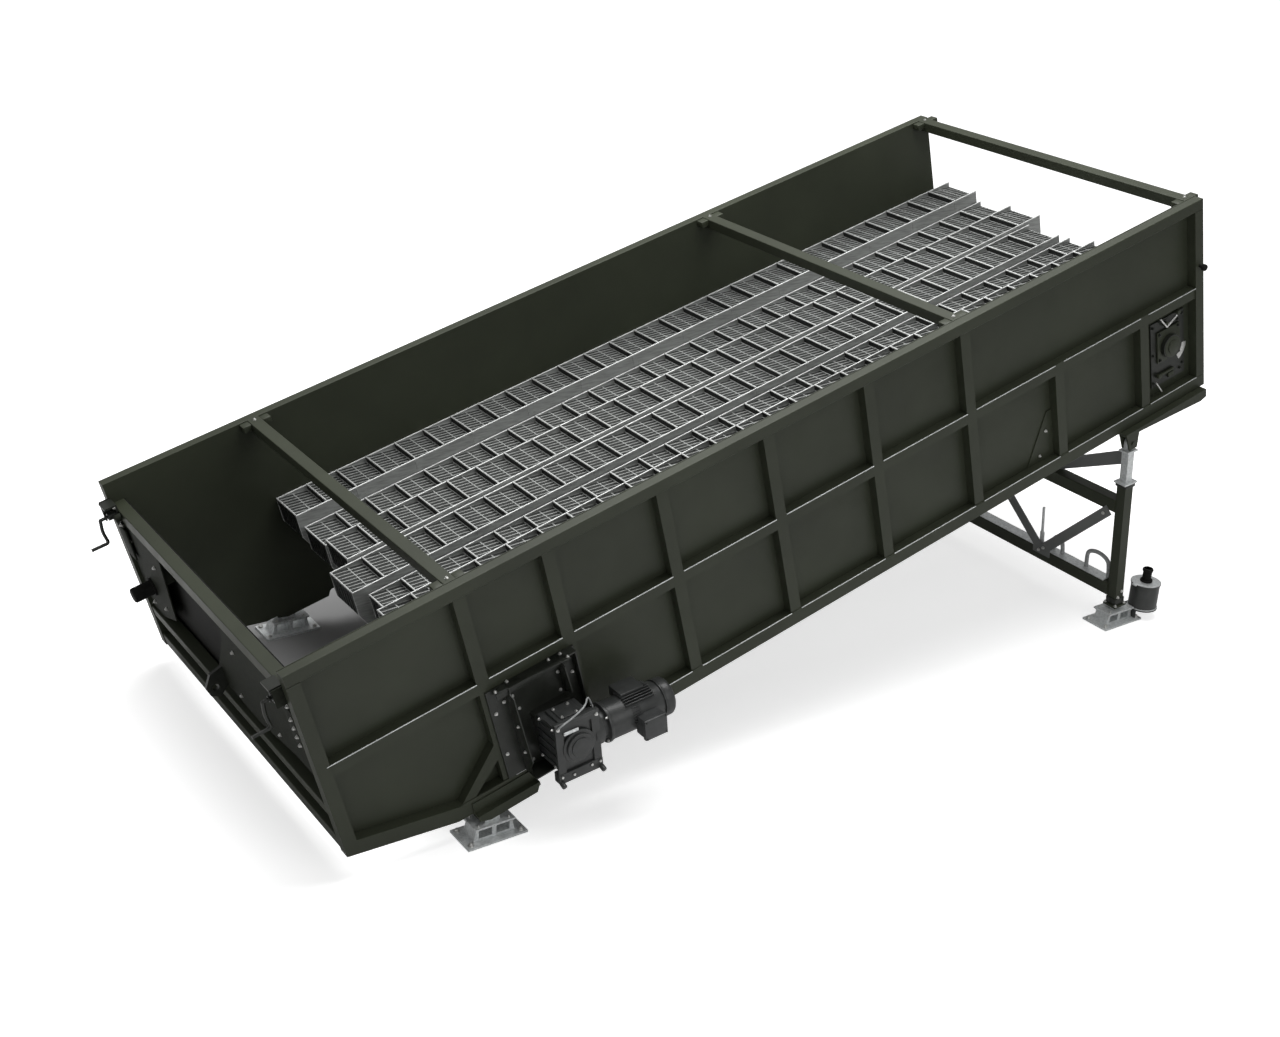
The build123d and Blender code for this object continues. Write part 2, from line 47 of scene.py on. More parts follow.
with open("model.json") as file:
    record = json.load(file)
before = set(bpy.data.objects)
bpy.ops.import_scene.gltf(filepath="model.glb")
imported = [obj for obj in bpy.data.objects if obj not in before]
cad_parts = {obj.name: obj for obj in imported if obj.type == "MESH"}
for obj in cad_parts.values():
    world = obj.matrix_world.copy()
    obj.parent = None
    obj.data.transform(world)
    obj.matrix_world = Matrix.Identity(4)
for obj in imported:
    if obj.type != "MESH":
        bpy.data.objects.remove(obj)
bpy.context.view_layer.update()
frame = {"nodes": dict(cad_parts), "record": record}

# The tilted box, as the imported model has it
TILT = radians(15)
CORNER = Vector((-3.51605, -1.2955, 1.384))
BODY = Matrix.Translation(CORNER) @ Matrix.Rotation(-TILT, 4, "Y")
LENGTH, WIDTH = 7.0, 2.87
RAIL, FRAME_D, SHEET, RIB_W = 0.078, 0.074, 0.006, 0.080
INNER0, INNER1 = FRAME_D + SHEET, WIDTH - FRAME_D - SHEET
RIBS = [1.000, 1.575, 2.360, 3.145, 3.930, 4.735, 5.535, 6.360]
MID_TOP, BOTTOM_TOP = -0.656, -1.374
PADDLES, PADDLE_W = 8, 0.326
TILE_W = PADDLE_W - 0.012
PITCH = (INNER1 - INNER0) / PADDLES
CRANK_R = 0.070
PHASE = [110, 240, 150, 290, 190, 10, 330, 60]
DECK_W, FRONT_U, END_U, TEETH, TOOTH_H = -0.680, 0.985, 7.120, 27, 0.044
LOW_AXIS, HIGH_AXIS = (1.380, -1.160), (6.690, -1.022)
STEP = (END_U - FRONT_U) / TEETH

# The drive, in its own frame: x along the motor, z up, from the low axis
DRIVE_TILT = TILT - radians(8)
DRIVE = (Matrix.Translation(BODY @ Vector((LOW_AXIS[0], 0, LOW_AXIS[1])))
         @ Matrix.Rotation(-DRIVE_TILT, 4, "Y"))
MOTOR_Y = -0.190

# Legs: they lean back; x square to the frame, z up along a leg
LEAN = radians(6)
LEG = (Matrix.Translation((CORNER.x + 6.546, CORNER.y, 0.130)) @ Matrix.Rotation(-LEAN, 4, "Y"))
FOOT_X = {"low": CORNER.x + 1.220, "high": CORNER.x + 6.546}
SIDES = {"near": 0.0, "far": WIDTH}
HAND_CRANKS = {"near": 0.150, "far": WIDTH - 0.150}
HAND_W = -0.185

# The floor: the part seen through the low opening has a painted shadow, darker with soft edges, and
# the floor glows by itself from near the machine to far off, so that it ends white
OPENING_X, OPENING_Y, OPENING_SOFT, OPENING_SHADE = (-3.1, -0.6), (0.05, 2.4), 0.45, 0.38
NEAR_REACH, FAR_REACH, NEAR_GLOW, FAR_GLOW = 3.0, 7.5, 0.62, 1.0


# Selection and shaping helpers

def focus(obj):
    """Selects one object alone and makes it the active one."""
    bpy.ops.object.select_all(action="DESELECT")
    obj.select_set(True)
    bpy.context.view_layer.objects.active = obj


def settle(obj):
    """Puts an object's place, turn and scale into its mesh."""
    focus(obj)
    bpy.ops.object.transform_apply(location=True, rotation=True, scale=True)
    return obj


def seat(obj, place):
    """Moves a settled object by a matrix and settles it again."""
    obj.matrix_world = place
    return settle(obj)


def apply_modifier(obj, kind, **values):
    """Adds one modifier with these values and applies it."""
    focus(obj)
    bpy.ops.object.modifier_add(type=kind)
    modifier = obj.modifiers[-1]
    for key, value in values.items():
        setattr(modifier, key, value)
    bpy.ops.object.modifier_apply(modifier=modifier.name)
    return obj


def break_edges(obj, width, segments=2):
    """Rounds the sharp edges of a piece."""
    return apply_modifier(obj, "BEVEL", width=width, segments=segments, limit_method="ANGLE")


def block(name, low, high, edge=0.0):
    """A bar or plate between two corners, with its edges broken."""
    low, high = Vector(low), Vector(high)
    bpy.ops.mesh.primitive_cube_add(size=1, location=(low + high) / 2)
    obj = bpy.context.object
    obj.name = name
    obj.scale = high - low
    settle(obj)
    if edge:
        break_edges(obj, edge)
    return obj


def rod(name, start, end, radius, sides=20, edge=0.0, top=None):
    """A round bar between two points, or a cone where its top radius is given."""
    start, end = Vector(start), Vector(end)
    way = end - start
    turn = way.to_track_quat("Z", "Y").to_euler()
    if top is None:
        bpy.ops.mesh.primitive_cylinder_add(
            vertices=sides, radius=radius, depth=way.length, location=(start + end) / 2, rotation=turn)
    else:
        bpy.ops.mesh.primitive_cone_add(
            vertices=sides, radius1=radius, radius2=top, depth=way.length,
            location=(start + end) / 2, rotation=turn)
    obj = bpy.context.object
    obj.name = name
    settle(obj)
    if edge:
        break_edges(obj, edge)
    return obj


def profile(name, outline, axis, start, depth, edge=0.0):
    """A plate of any outline: its corners are drawn one after another, filled
    and extruded along an axis. outline gives the two other coordinates."""
    spots = []
    for a, b in outline:
        spots.append(Vector({"x": (start, a, b), "y": (a, start, b), "z": (a, b, start)}[axis]))
    bpy.ops.mesh.primitive_plane_add(size=0.01, location=spots[0])
    obj = bpy.context.object
    obj.name = name
    settle(obj)
    bpy.ops.object.mode_set(mode="EDIT")
    bpy.ops.mesh.select_all(action="SELECT")
    bpy.ops.mesh.merge(type="CENTER")
    for here, there in zip(spots, spots[1:]):
        bpy.ops.mesh.extrude_region_move(TRANSFORM_OT_translate={"value": there - here})
    bpy.ops.mesh.select_all(action="SELECT")
    bpy.ops.mesh.edge_face_add()
    push = {"x": (depth, 0, 0), "y": (0, depth, 0), "z": (0, 0, depth)}[axis]
    bpy.ops.mesh.extrude_region_move(TRANSFORM_OT_translate={"value": push})
    bpy.ops.mesh.select_all(action="SELECT")
    bpy.ops.mesh.normals_make_consistent(inside=False)
    bpy.ops.object.mode_set(mode="OBJECT")
    if edge:
        break_edges(obj, edge)
    return obj


def bent_rod(name, points, radius):
    """A round bar bent along points, as a curve made a mesh."""
    bpy.ops.curve.primitive_bezier_curve_add()
    obj = bpy.context.object
    obj.name = name
    curve = obj.data
    curve.splines.clear()
    line = curve.splines.new("NURBS")
    line.points.add(len(points) - 1)
    for knot, point in zip(line.points, points):
        knot.co = (*point, 1)
    line.order_u = 3
    line.use_endpoint_u = True
    curve.bevel_depth = radius
    curve.bevel_resolution = 3
    curve.use_fill_caps = True
    curve.resolution_u = 8
    obj.location = (0, 0, 0)
    focus(obj)
    bpy.ops.object.convert(target="MESH")
    return settle(bpy.context.object)


def bored(obj, low, high, radius, sides=32):
    """Cuts a round hole through a piece."""
    drill = rod("drill", low, high, radius, sides)
    apply_modifier(obj, "BOOLEAN", operation="DIFFERENCE", solver="EXACT", object=drill)
    bpy.data.objects.remove(drill)
    return obj


def cut_off(obj, spot, axis):
    """Cuts a piece at a plane and closes it; what lies along the axis goes."""
    focus(obj)
    bpy.ops.object.mode_set(mode="EDIT")
    bpy.ops.mesh.select_all(action="SELECT")
    bpy.ops.mesh.remove_doubles(threshold=0.00001)
    bpy.ops.mesh.bisect(plane_co=spot, plane_no=axis, use_fill=True, clear_outer=True)
    bpy.ops.object.mode_set(mode="OBJECT")
    return obj


def twin(obj, name, place=Matrix.Identity(4)):
    """A copy with its own mesh, moved by a matrix."""
    copy = obj.copy()
    copy.data = obj.data.copy()
    copy.name = name
    bpy.context.collection.objects.link(copy)
    copy.data.transform(place)
    return copy


def joined(name, pieces):
    """Several objects made one."""
    focus(pieces[0])
    for piece in pieces[1:]:
        piece.select_set(True)
    if len(pieces) > 1:
        bpy.ops.object.join()
    obj = bpy.context.object
    obj.name = name
    return obj


def facing(spot, axis):
    """Matrix that stands a bolt on a spot, its head along an axis."""
    return Matrix.Translation(spot) @ Vector(axis).to_track_quat("Z", "Y").to_matrix().to_4x4()


def bolts(name, spots, size=0.010):
    """Hexagon bolts with washers on (spot, axis) pairs, as one object."""
    head = rod("head", (0, 0, 0.003), (0, 0, 0.003 + 0.75 * size), size, 6, edge=0.0012)
    washer = rod("washer", (0, 0, 0), (0, 0, 0.003), 1.25 * size, 14)
    tip = rod("tip", (0, 0, 0.003 + 0.75 * size), (0, 0, 0.003 + 1.15 * size), 0.55 * size, 10)
    first = joined("bolt", [head, washer, tip])
    copies = [twin(first, "bolt", facing(spot, axis)) for spot, axis in spots]
    bpy.data.objects.remove(first)
    return joined(name, copies)


def finished(obj, material, rides, smooth=40):
    """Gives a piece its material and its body."""
    obj.data.materials.clear()
    obj.data.materials.append(material)
    focus(obj)
    bpy.ops.object.shade_smooth_by_angle(angle=radians(smooth))
    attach(obj, rides)
    return obj


# Nodes whose look differs a little from their slot's
# end_gussets: painted shade, near black on the low end
NODE_FINISH = {"v_braces": "brace_grey", "upper_braces": "brace_grey", "frame_lever": "galvanised",
               "lifting_lug": "black_paint", "crank_brackets": "black_paint", "drive_bracket": "black_paint",
               "high_bearings": "black_paint", "end_gussets": "low_end_painted_shade"}


def placed(name, pieces, place, finish, rides="frame", smooth=40):
    """Joins pieces that are drawn in one frame, seats them there and finishes them."""
    obj = seat(joined(name, pieces), place)
    return finished(obj, finish_of(finish), rides, smooth)


# Materials

def link(tree, source, target):
    tree.links.new(source, target)


def new_material(name, rough, metal, specular=0.5):
    """A material with its tree, its shader and a shared coordinate node."""
    material = bpy.data.materials.new(name)
    material.use_nodes = True
    tree = material.node_tree
    shader = tree.nodes["Principled BSDF"]
    shader.inputs["Roughness"].default_value = rough
    shader.inputs["Metallic"].default_value = metal
    shader.inputs["Specular IOR Level"].default_value = specular
    coords = tree.nodes.new("ShaderNodeTexCoord")
    return material, tree, shader, coords


def noise(tree, coords, scale, detail=4.0, stretch=None):
    """Noise on object coordinates, stretched by a mapping where one is given."""
    node = tree.nodes.new("ShaderNodeTexNoise")
    node.inputs["Scale"].default_value = scale
    node.inputs["Detail"].default_value = detail
    source = coords.outputs["Object"]
    if stretch:
        mapping = tree.nodes.new("ShaderNodeMapping")
        mapping.inputs["Scale"].default_value = stretch
        mapping.inputs["Rotation"].default_value = (0, TILT, 0)
        link(tree, source, mapping.inputs["Vector"])
        source = mapping.outputs["Vector"]
    link(tree, source, node.inputs["Vector"])
    return node.outputs["Fac"]


def ramp(tree, fac, stops):
    """Colour ramp with (place, colour) stops."""
    node = tree.nodes.new("ShaderNodeValToRGB")
    for at, (place, colour) in enumerate(stops):
        stop = node.color_ramp.elements[at] if at < 2 else node.color_ramp.elements.new(place)
        stop.position = place
        stop.color = (*colour, 1)
    link(tree, fac, node.inputs["Fac"])
    return node.outputs["Color"]


def shade(colour, factor):
    return tuple(min(1.0, c * factor) for c in colour)


def bump(tree, shader, fac, strength, distance):
    node = tree.nodes.new("ShaderNodeBump")
    node.inputs["Strength"].default_value = strength
    node.inputs["Distance"].default_value = distance
    link(tree, fac, node.inputs["Height"])
    link(tree, node.outputs["Normal"], shader.inputs["Normal"])


def rough_span(tree, shader, fac, low, high):
    node = tree.nodes.new("ShaderNodeMapRange")
    node.inputs["To Min"].default_value = low
    node.inputs["To Max"].default_value = high
    link(tree, fac, node.inputs["Value"])
    link(tree, node.outputs["Result"], shader.inputs["Roughness"])


def machine_paint(name, colour):
    """Sprayed machine enamel: slight orange peel, dust and faint runs."""
    material, tree, shader, coords = new_material(name, 0.45, 0.0, 0.3)
    cloud = noise(tree, coords, 1.6, 6)
    tone = ramp(tree, cloud, [(0.3, shade(colour, 0.86)), (0.72, shade(colour, 1.14))])
    link(tree, tone, shader.inputs["Base Color"])
    rough_span(tree, shader, noise(tree, coords, 7, 5), 0.36, 0.56)
    bump(tree, shader, noise(tree, coords, 260, 2), 0.06, 0.0006)
    return material


def punched_steel(name, colour):
    """Worn grey steel of the tiles, brushed lengthways by the waste."""
    material, tree, shader, coords = new_material(name, 0.45, 0.35)
    streak = noise(tree, coords, 9, 5, stretch=(1.0, 9.0, 9.0))
    tone = ramp(tree, streak, [(0.28, shade(colour, 0.72)), (0.5, colour), (0.74, shade(colour, 1.25))])
    link(tree, tone, shader.inputs["Base Color"])
    rough_span(tree, shader, noise(tree, coords, 30, 4), 0.36, 0.58)
    bump(tree, shader, noise(tree, coords, 90, 3), 0.15, 0.001)
    return material


def galvanised(name, colour):
    """Hot-dip zinc with its spangle."""
    material, tree, shader, coords = new_material(name, 0.4, 0.55)
    spangle = tree.nodes.new("ShaderNodeTexVoronoi")
    spangle.inputs["Scale"].default_value = 55
    link(tree, coords.outputs["Object"], spangle.inputs["Vector"])
    tone = ramp(tree, spangle.outputs["Distance"], [(0.0, shade(colour, 0.82)), (0.8, shade(colour, 1.12))])
    link(tree, tone, shader.inputs["Base Color"])
    rough_span(tree, shader, noise(tree, coords, 12, 4), 0.32, 0.55)
    return material


def cast_paint(name, colour):
    """Thick dull paint on a casting, with its grain."""
    material, tree, shader, coords = new_material(name, 0.5, 0.0, 0.4)
    cloud = noise(tree, coords, 14, 5)
    tone = ramp(tree, cloud, [(0.3, shade(colour, 0.8)), (0.7, shade(colour, 1.15))])
    link(tree, tone, shader.inputs["Base Color"])
    rough_span(tree, shader, noise(tree, coords, 25, 3), 0.24, 0.42)
    bump(tree, shader, noise(tree, coords, 320, 2), 0.2, 0.0008)
    return material


def dark_steel(name, colour):
    """Oiled dark steel of shafts and webs."""
    material, tree, shader, coords = new_material(name, 0.4, 0.7)
    cloud = noise(tree, coords, 18, 5)
    tone = ramp(tree, cloud, [(0.3, shade(colour, 0.6)), (0.7, shade(colour, 1.3))])
    link(tree, tone, shader.inputs["Base Color"])
    rough_span(tree, shader, noise(tree, coords, 40, 3), 0.3, 0.5)
    return material


def bright_zinc(name, colour):
    """Plated bolts."""
    material, tree, shader, coords = new_material(name, 0.28, 0.85)
    tone = ramp(tree, noise(tree, coords, 70, 2), [(0.3, shade(colour, 0.8)), (0.7, shade(colour, 1.1))])
    link(tree, tone, shader.inputs["Base Color"])
    return material


def black_rubber(name, colour):
    """Matt rubber and plastic grips."""
    material, tree, shader, coords = new_material(name, 0.7, 0.0, 0.12)
    tone = ramp(tree, noise(tree, coords, 40, 4), [(0.3, shade(colour, 0.8)), (0.7, shade(colour, 1.3))])
    link(tree, tone, shader.inputs["Base Color"])
    bump(tree, shader, noise(tree, coords, 400, 2), 0.15, 0.0005)
    return material


def band(tree, value, low, high, soft):
    """1 between two values of a coordinate and 0 beyond, with soft edges."""
    both = tree.nodes.new("ShaderNodeMath")
    both.operation = "MULTIPLY"
    for socket, start, end in ((0, low, low + soft), (1, high, high - soft)):
        side = tree.nodes.new("ShaderNodeMapRange")
        side.inputs["From Min"].default_value = start
        side.inputs["From Max"].default_value = end
        link(tree, value, side.inputs["Value"])
        link(tree, side.outputs["Result"], both.inputs[socket])
    return both.outputs["Value"]


def floor_white(name, colour):
    """Pale floor that keeps a soft shadow near the machine and is white beyond; where it shows through the
    low opening it has a painted shadow, a darker colour and a weaker glow.
    """
    material, tree, shader, coords = new_material(name, 0.9, 0.0, 0.0)
    out = tree.nodes["Material Output"]
    axes = tree.nodes.new("ShaderNodeSeparateXYZ")
    link(tree, coords.outputs["Object"], axes.inputs[0])
    # Mask of the painted shadow on the floor seen through the low opening
    inside = tree.nodes.new("ShaderNodeMath")
    inside.operation = "MULTIPLY"
    link(tree, band(tree, axes.outputs["X"], *OPENING_X, OPENING_SOFT), inside.inputs[0])
    link(tree, band(tree, axes.outputs["Y"], *OPENING_Y, OPENING_SOFT), inside.inputs[1])
    stops = [(0.0, colour), (1.0, shade(colour, OPENING_SHADE))]
    link(tree, ramp(tree, inside.outputs["Value"], stops), shader.inputs["Base Color"])
    glow = tree.nodes.new("ShaderNodeEmission")
    glow.inputs["Color"].default_value = (1, 1, 1, 1)
    reach = tree.nodes.new("ShaderNodeVectorMath")
    reach.operation = "LENGTH"
    link(tree, coords.outputs["Object"], reach.inputs[0])
    fade = tree.nodes.new("ShaderNodeMapRange")
    for socket, value in (("From Min", NEAR_REACH), ("From Max", FAR_REACH),
                          ("To Min", NEAR_GLOW), ("To Max", FAR_GLOW)):
        fade.inputs[socket].default_value = value
    link(tree, reach.outputs["Value"], fade.inputs["Value"])
    # The glow is lowered under the painted shadow as well
    open_floor = tree.nodes.new("ShaderNodeMath")
    open_floor.operation = "SUBTRACT"
    open_floor.use_clamp = True
    link(tree, fade.outputs["Result"], open_floor.inputs[0])
    link(tree, inside.outputs["Value"], open_floor.inputs[1])
    link(tree, open_floor.outputs["Value"], glow.inputs["Strength"])
    both = tree.nodes.new("ShaderNodeAddShader")
    path = tree.nodes.new("ShaderNodeLightPath")
    pick = tree.nodes.new("ShaderNodeMixShader")
    link(tree, glow.outputs[0], both.inputs[0])
    link(tree, shader.outputs[0], both.inputs[1])
    link(tree, path.outputs["Is Camera Ray"], pick.inputs["Fac"])
    link(tree, shader.outputs[0], pick.inputs[1])
    link(tree, both.outputs[0], pick.inputs[2])
    link(tree, pick.outputs[0], out.inputs["Surface"])
    return material


MATERIALS = {}


def finish_of(slot):
    """The material of a slot, made the first time it is asked for."""
    if slot not in MATERIALS:
        paint = bpy.context.scene.separator_finish
        makers = {
            "green_paint": (machine_paint, paint.green),
            "grey_steel": (punched_steel, paint.tiles),
            "dark_steel": (dark_steel, paint.shafts),
            "galvanised": (galvanised, paint.zinc),
            "drive_grey": (cast_paint, paint.drive),
            "grey_box": (cast_paint, paint.box),
            "drum_paint": (cast_paint, paint.drum),
            "black_rubber": (black_rubber, paint.rubber),
            "bright_zinc": (bright_zinc, paint.bolts),
            # painted shade under the tiles: a dark copy of the tile steel
            "tile_painted_shade": (punched_steel, paint.inside),
            "hose_grey": (black_rubber, paint.hose),
            "black_paint": (cast_paint, paint.black),
            # painted shade on the low end: near-black matt
            "low_end_painted_shade": (black_rubber, paint.shaded),
            # painted highlight on the tile edges: a bright copy of the tile steel
            "tile_painted_highlight": (punched_steel, paint.edges),
            "brace_grey": (machine_paint, paint.braces),
        }
        maker, colour = makers[slot]
        MATERIALS[slot] = maker(slot, tuple(colour))
    return MATERIALS[slot]


# Sizes and colours that a user would change

def colour_of(name, default):
    return FloatVectorProperty(name=name, description="Colour of the " + name.lower(), subtype="COLOR",
                               size=3, min=0, max=1, default=default)


class SeparatorFinish(bpy.types.PropertyGroup):
    """Colours of the finishes, among them the painted shade and painted highlight colours."""
    green: colour_of("Machine paint", (0.033, 0.038, 0.024))
    tiles: colour_of("Paddle tiles", (0.36, 0.37, 0.36))
    # Painted shade: the dark colour under the tile slots, on the risers and on the paddle fronts
    inside: colour_of("Paddle insides", (0.028, 0.030, 0.028))
    shafts: colour_of("Crankshafts", (0.10, 0.10, 0.10))
    zinc: colour_of("Galvanised steel", (0.66, 0.68, 0.68))
    drive: colour_of("Gearbox and motor", (0.040, 0.042, 0.041))
    box: colour_of("Terminal box", (0.045, 0.047, 0.047))
    drum: colour_of("Drum", (0.050, 0.052, 0.050))
    rubber: colour_of("Rubber", (0.010, 0.010, 0.009))
    bolts: colour_of("Bolts", (0.72, 0.72, 0.70))
    hose: colour_of("Hoops and cable", (0.34, 0.35, 0.35))
    black: colour_of("Bracket paint", (0.018, 0.020, 0.016))
    # Painted shade: near black for the low end plates and end gussets
    shaded: colour_of("Low end plates", (0.014, 0.016, 0.011))
    # Painted highlight: a bright copy of the tile steel for the tile lips, side edges and rims
    edges: colour_of("Tile edges", (0.62, 0.63, 0.62))
    braces: colour_of("Grey braces", (0.16, 0.165, 0.16))


class SeparatorSizes(bpy.types.PropertyGroup):
    """Sizes of the fine pieces."""
    slot_rows: IntProperty(name="Slot rows", description="Rows of slots along one tile", default=2, min=1)
    slot_files: IntProperty(name="Slot files", description="Slots across one tile", default=8, min=1)
    bar: FloatProperty(name="Tile bar", description="Steel left between two slots", default=0.007,
                       unit="LENGTH")
    tile_sheet: FloatProperty(name="Tile sheet", description="Thickness of a tile", default=0.005,
                              unit="LENGTH")
    fins: IntProperty(name="Motor fins", description="Cooling fins beside the motor's top box",
                      default=9, min=3)


# Pieces

class SEPARATOR_OT_cad_finishes(bpy.types.Operator):
    """Give every carried-over node its finish"""
    bl_idname = "separator.cad_finishes"
    bl_label = "Finish the main pieces"

    def execute(self, context):
        slots = {entry["node"]: entry["material_slot"] for entry in frame["record"]["subparts"]}
        for name, node in frame["nodes"].items():
            node.data.materials.clear()
            node.data.materials.append(finish_of(NODE_FINISH.get(name, slots[name])))
        return {"FINISHED"}


def slotted_tile(sizes):
    """One tile of a paddle: a sloping slotted plate with a round bar across its lower end, from x = 0, at mid
    stroke height 0."""
    slope = atan2(TOOTH_H, STEP)
    length = hypot(TOOTH_H, STEP)
    bpy.ops.mesh.primitive_grid_add(x_subdivisions=sizes.slot_rows, y_subdivisions=sizes.slot_files, size=1)
    plate = bpy.context.object
    plate.scale = (length, TILE_W, 1)
    settle(plate)
    bpy.ops.object.mode_set(mode="EDIT")
    bpy.ops.mesh.select_all(action="SELECT")
    bpy.ops.mesh.inset(thickness=sizes.bar / 2, depth=0, use_individual=True)
    bpy.ops.mesh.delete(type="FACE")
    bpy.ops.object.mode_set(mode="OBJECT")
    apply_modifier(plate, "SOLIDIFY", thickness=sizes.tile_sheet, offset=1)
    seat(plate, Matrix.Translation((STEP / 2, 0, -TOOTH_H / 2 + 0.0018)) @ Matrix.Rotation(slope, 4, "Y"))
    x, z = STEP - 0.010, -TOOTH_H + 0.009
    bar = rod("bar", (x, -TILE_W / 2, z), (x, TILE_W / 2, z), 0.004, 8)
    return joined("tile", [plate, bar])


def painted_shade_sheet():
    """Painted shade: the dark sheet that stands for the shade seen through one tile's slots, and a dark riser
    face in painted shade.
    """
    slope = atan2(TOOTH_H, STEP)
    length = hypot(TOOTH_H, STEP)
    sheet = block("sheet", (-length / 2, -TILE_W / 2, 0), (length / 2, TILE_W / 2, 0.001))
    seat(sheet, Matrix.Translation((STEP / 2, 0, -TOOTH_H / 2 + 0.0004)) @ Matrix.Rotation(slope, 4, "Y"))
    riser = block("riser", (-0.0030, -TILE_W / 2, -TOOTH_H), (-0.0005, TILE_W / 2, 0.001))
    return joined("underlay", [sheet, riser])


class SEPARATOR_OT_paddle_tiles(bpy.types.Operator):
    """Lay the slotted tiles on the eight paddles"""
    bl_idname = "separator.paddle_tiles"
    bl_label = "Paddle tiles"

    def execute(self, context):
        repeat = {"count": TEETH, "use_relative_offset": False, "use_constant_offset": True,
                  "constant_offset_displace": (STEP, 0, 0)}
        tile = apply_modifier(slotted_tile(context.scene.separator_sizes), "ARRAY", **repeat)
        # Painted shade under the slots and on the risers
        dark = apply_modifier(painted_shade_sheet(), "ARRAY", **repeat)
        length = END_U - FRONT_U
        # Lips, side edges and rims: painted highlights, bright rods in a lit copy of the tile steel
        lip = rod("lip", (0, -TILE_W / 2, 0.005), (0, TILE_W / 2, 0.005), 0.006, 10)
        bright = [apply_modifier(lip, "ARRAY", **repeat)]
        edges = []
        for side in (-1, 1):
            y = side * (PADDLE_W / 2 - 0.004)
            bright.append(rod("edge", (0, y, 0.001), (length, y, 0.001), 0.005, 8))
            face = side * PADDLE_W / 2
            for n in range(2, TEETH, 2):
                spot = n * STEP
                edges.append(block("seam", (spot - 0.010, face - 0.002, -0.130),
                                   (spot + 0.010, face + 0.002, -0.004)))
                edges.append(rod("rivet", (spot + 0.04, face - 0.002, -0.07),
                                 (spot + 0.04, face + 0.003, -0.07), 0.009, 8))
            bright.append(rod("rim", (0, y, 0), (0, y, -0.170), 0.004, 8))
            bright.append(rod("rim", (0, y, -0.170), (0.060, y, -0.300), 0.004, 8))
        # The paddle fronts and their ribs get the painted shade colour as well
        half = PADDLE_W / 2 - 0.010
        outline = [(0, -0.012), (-0.002, -0.012), (-0.002, -0.171), (0.0575, -0.301), (0.060, -0.300),
                   (0, -0.170)]
        lamella = [profile("front", outline, "y", -half, 2 * half)]
        for n in range(1, 7):
            y = -half + n * 2 * half / 7
            lamella.append(block("rib", (-0.006, y - 0.002, -0.165), (0, y + 0.002, -0.020)))
        top = joined("deck", [tile] + edges)
        below = joined("below", [dark] + lamella)
        lips = joined("lips", bright)
        for k in range(PADDLES):
            angle = radians(PHASE[k])
            body = "paddle_%d" % (k + 1)
            spot = (FRONT_U + CRANK_R * cos(angle), INNER0 + PITCH * (k + 0.5), DECK_W + CRANK_R * sin(angle))
            seat_here = BODY @ Matrix.Translation(spot)
            finished(twin(top, body + "_tiles", seat_here), finish_of("grey_steel"), body)
            finished(twin(below, body + "_underlay", seat_here), finish_of("tile_painted_shade"), body)
            finished(twin(lips, body + "_lips", seat_here), finish_of("tile_painted_highlight"), body)
        for pattern in (top, below, lips):
            bpy.data.objects.remove(pattern)
        return {"FINISHED"}


def crank_bar(v):
    """A hand crank bent from one round bar, on its pivot in the corner bracket."""
    turn, low, out = -0.104, HAND_W - 0.170, -0.219
    points = [(0.004, v, HAND_W), (-0.060, v, HAND_W), (turn + 0.012, v, HAND_W), (turn, v, HAND_W),
              (turn, v, HAND_W - 0.012), (turn - 0.012, v, HAND_W - 0.080), (turn - 0.004, v, low + 0.030),
              (turn - 0.002, v, low + 0.008), (turn - 0.010, v, low), (turn - 0.030, v, low),
              (out, v, low)]
    bar = bent_rod("bar", points, 0.011)
    collar = rod("collar", (-0.070, v, HAND_W), (-0.060, v, HAND_W), 0.020, 20, edge=0.002)
    return [bar, collar]


class SEPARATOR_OT_low_end(bpy.types.Operator):
    """Hand cranks, corner brackets, plates and bolts of the low end"""
    bl_idname = "separator.low_end"
    bl_label = "Low end"

    def execute(self, context):
        for hand, v in HAND_CRANKS.items():
            node = "hand_crank_" + hand
            crank = placed(node + "_bar", crank_bar(v), BODY, "black_paint", node)
            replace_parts(crank, node)
        plates = []
        spots = []
        for v, out in ((HAND_CRANKS["near"], -1), (HAND_CRANKS["far"], 1)):
            wide = v + out * 0.070
            ear = v - out * 0.085
            plates.append(block("cheek", (-0.060, wide - 0.004, HAND_W - 0.030),
                                (0.014, wide + 0.004, -0.100), 0.002))
            plates.append(rod("ear", (-0.030, ear, HAND_W + 0.010), (0.010, ear, HAND_W + 0.010), 0.026, 20,
                              edge=0.003))
            plates.append(block("foot", (0.000, v - 0.080, HAND_W - 0.075),
                                (0.012, v + 0.080, HAND_W - 0.046), 0.002))
            spots += [(0.003, v + a, HAND_W + 0.066) for a in (-0.042, 0.042)]
            spots += [(0.000, v + a, HAND_W - 0.060) for a in (-0.055, 0.055)]
        near = HAND_CRANKS["near"]
        plates.append(block("corner", (0.000, INNER0 + 0.005, -0.560), (0.012, near + 0.060, -0.290), 0.003))
        plates.append(block("corner", (0.000, INNER1 - 0.140, -0.520), (0.012, INNER1 - 0.005, -0.290),
                            0.003))
        spots += [(0.000, near - 0.030, -0.350 - 0.060 * n) for n in range(4)]
        # The low end plates are near black as painted shade
        placed("low_end_plates", plates, BODY, "low_end_painted_shade")
        spots += [(0.024, y, z) for y, z in
                  ((2.30, -0.42), (2.42, -0.80), (2.70, -0.40), (2.70, -0.88),
                   (0.40, -0.40), (1.02, -0.40), (1.20, -0.82), (0.60, -0.76))]
        heads = bolts("bolts", [(spot, (-1, 0, 0)) for spot in spots], 0.011)
        placed("low_end_bolts", [heads], BODY, "bright_zinc")
        strips = [block("strip", (0.086, INNER0 + 0.01, w - 0.025), (0.0945, INNER1 - 0.01, w + 0.025), 0.002)
                  for w in (-0.30, -1.24)]
        placed("apron_strips", strips, BODY, "green_paint")
        return {"FINISHED"}


